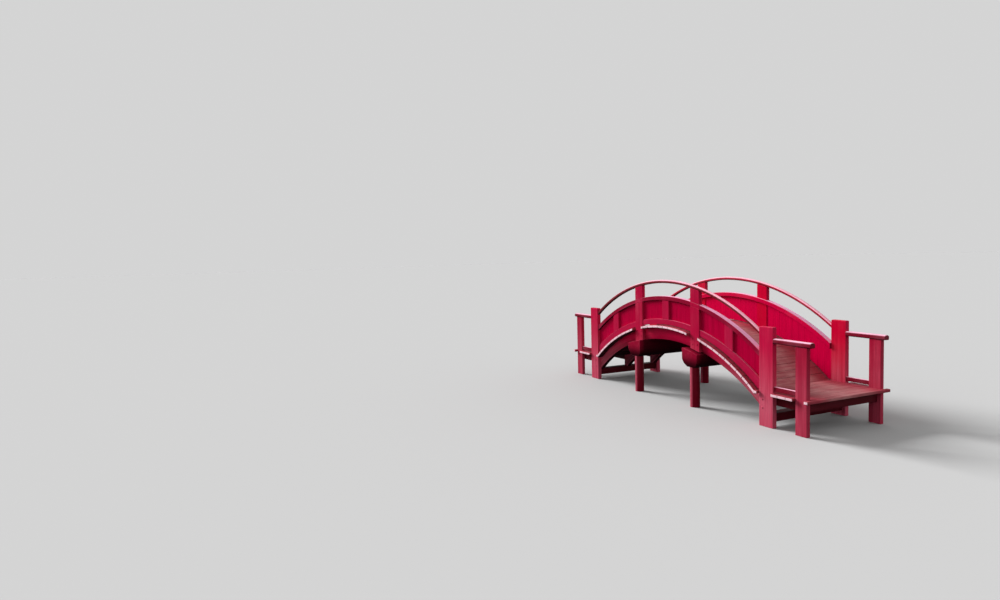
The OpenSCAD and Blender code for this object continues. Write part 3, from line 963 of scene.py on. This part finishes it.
# %% Weathered steel
BARE_STEEL = srgb(92, 84, 82)
RUST_BROWN = srgb(88, 44, 34)
RUST_SPOTS = (160.0, 3.0)
RUST_DEPTH = 0.0002
RUST_STRENGTH = 0.4
STEEL_SHINE = 0.5
STEEL_METAL = 0.6

steel, tree = new_finish("weathered_steel")
rust = round_noise(tree, add(tree, "TexCoord").outputs["Object"], *RUST_SPOTS)
base = blend_of(tree, ramp(tree, rust, 0.4, 0.65), BARE_STEEL, RUST_BROWN)
rough = ramp(tree, rust, 0.3, 0.7, 0.35, 0.75)
finishes["steel"] = complete(steel, base, rough, rust, RUST_STRENGTH, RUST_DEPTH, STEEL_SHINE, STEEL_METAL)

# %% Shape a screw
SCREW_HEAD = 0.0055
SCREW_DEPTH = 0.003
SCREW_TAPER = 0.86
SCREW_SIDES = 8
PROUD = 0.0004


def square_to(point, outward):
    """Places a shape that stands along Z at a point, with its Z turned outward."""
    return Matrix.Translation(point) @ outward.to_track_quat("Z", "Y").to_matrix().to_4x4()


def screw(form, point, outward):
    """Adds a screw head that stands proud of a face."""
    seat = square_to(point + outward * (PROUD - SCREW_DEPTH / 2), outward)
    bmesh.ops.create_cone(form, cap_ends=True, segments=SCREW_SIDES, radius1=SCREW_HEAD,
                          radius2=SCREW_HEAD * SCREW_TAPER, depth=SCREW_DEPTH, matrix=seat)


print("a screw head is", round(SCREW_HEAD * 2000), "mm across")

# %% Screw the boards down
SCREW_INSET = 0.035

form = bmesh.new()
girder_lines = []
for name in ("girder_near", "girder_middle", "girder_far"):
    low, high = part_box(name)
    girder_lines.append((low.y + high.y) / 2)
flat_radius = radius * cos(pitch / 2)
for i in range(BOARDS_IN_DECK):
    angle = -half_angle + (i + 0.5) * pitch
    outward = Vector((sin(angle), 0, cos(angle)))
    along = Vector((cos(angle), 0, -sin(angle)))
    for y in girder_lines:
        for way in (-1, 1):
            point = centre + outward * flat_radius + along * way * (board_width / 2 - SCREW_INSET)
            screw(form, point + Vector((0, y, 0)), outward)
joist_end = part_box("landing_frame_right")[1].x
for side in (-1, 1):
    for i in range(BOARDS_IN_LANDING):
        for way in (-1, 1):
            x = foot_x + (i + 0.5) * board_width + way * (board_width / 2 - SCREW_INSET)
            if x < joist_end - SCREW_INSET:
                for y in girder_lines:
                    screw(form, Vector((side * x, y, landing_z)), Vector(UP))
print("screws", len(form.faces) // (SCREW_SIDES + 2))
place_piece(form, "board_screws", [], "steel")

# %% [markdown]
# Bolts and pegs
# Coach bolts with domed heads go through the posts and the newels into the girders, and have been painted
# over with the timber. Two wooden pegs lock the mid rail into each post. The whole bolts could be made,
# but only their heads can be seen. Bolt heads start as spheres that are sunk into the wood and flattened,
# and pegs as short cones of twelve sides.

# %% Shape a bolt head and a peg
BOLT_HEAD = 0.014
BOLT_RISE = 0.55
BOLT_SIDES = 14
BOLT_RINGS = 8
PEG = 0.009
PEG_PROUD = 0.003
PEG_TAPER = 0.88
PEG_SIDES = 12


def bolt_head(form, point, outward):
    """Adds a low dome on a face."""
    flatten = Matrix.Diagonal((1, 1, BOLT_RISE, 1))
    bmesh.ops.create_uvsphere(form, u_segments=BOLT_SIDES, v_segments=BOLT_RINGS, radius=BOLT_HEAD,
                              matrix=square_to(point, outward) @ flatten)


def peg(form, point, outward):
    """Adds a peg, half of it in the wood."""
    bmesh.ops.create_cone(form, cap_ends=True, segments=PEG_SIDES, radius1=PEG, radius2=PEG * PEG_TAPER,
                          depth=PEG_PROUD * 2, matrix=square_to(point, outward))


print("a bolt head is", round(BOLT_HEAD * 2000), "mm across and a peg", round(PEG * 2000))

# %% Bolt the posts and peg the rails
RAIL_DEPTH = 0.07
POST_BOLT_SHARE = 0.26
POST_BOLT_HEIGHTS = (0.06, 0.15)
NEWEL_BOLT_SHARE = 0.25
NEWEL_BOLT_HEIGHTS = (0.27, 0.39)

form = bmesh.new()
rail_radius, rail_centre_z = mid_rail_arc
for side, outward in (("near", Vector((0, -1, 0))), ("far", Vector((0, 1, 0)))):
    for end in ("left", "right"):
        # Two columns of bolts in each post, with a peg above each
        low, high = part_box(f"post_{side}_{end}")
        middle = (low + high) / 2
        face_y = low.y if side == "near" else high.y
        foot_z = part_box("cap_beam_" + end)[1].z
        for way in (-1, 1):
            x = middle.x + way * (high.x - low.x) * POST_BOLT_SHARE
            for height in POST_BOLT_HEIGHTS:
                bolt_head(form, Vector((x, face_y, foot_z + height)), outward)
            rail_z = rail_centre_z + sqrt(rail_radius ** 2 - x ** 2) - RAIL_DEPTH / 2
            peg(form, Vector((x, face_y, rail_z)), outward)

        # One column of bolts in each newel, on the side towards the arch
        low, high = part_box(f"newel_{side}_{end}")
        face_y = low.y if side == "near" else high.y
        share = NEWEL_BOLT_SHARE if end == "right" else 1 - NEWEL_BOLT_SHARE
        x = low.x + (high.x - low.x) * share
        for z in NEWEL_BOLT_HEIGHTS:
            bolt_head(form, Vector((x, face_y, z)), outward)
place_piece(form, "bolts_and_pegs", [], "post")

# %% [markdown]
# Handrails and piles
# A few timbers are right as they come: the model already rounds the top of each handrail, and a round
# pile has no arris to ease. They could be copied like the rest, but a copy would be no better, so they
# only take their paint.

# %% Paint the timbers that are kept as they are
for name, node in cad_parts.items():
    finish = node.data.materials[0].name
    if not node.hide_render and finish in finishes:
        node.material_slots[0].material = finishes[finish]
        print("painted", name)

# %% [markdown]
# The finished box The finished bridge has to fill the same box as the measured model; its box is printed.

# %% Print the box of the finished bridge
bpy.context.view_layer.update()
low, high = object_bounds()
print("visual box:", [round(v, 3) for v in low], [round(v, 3) for v in high])
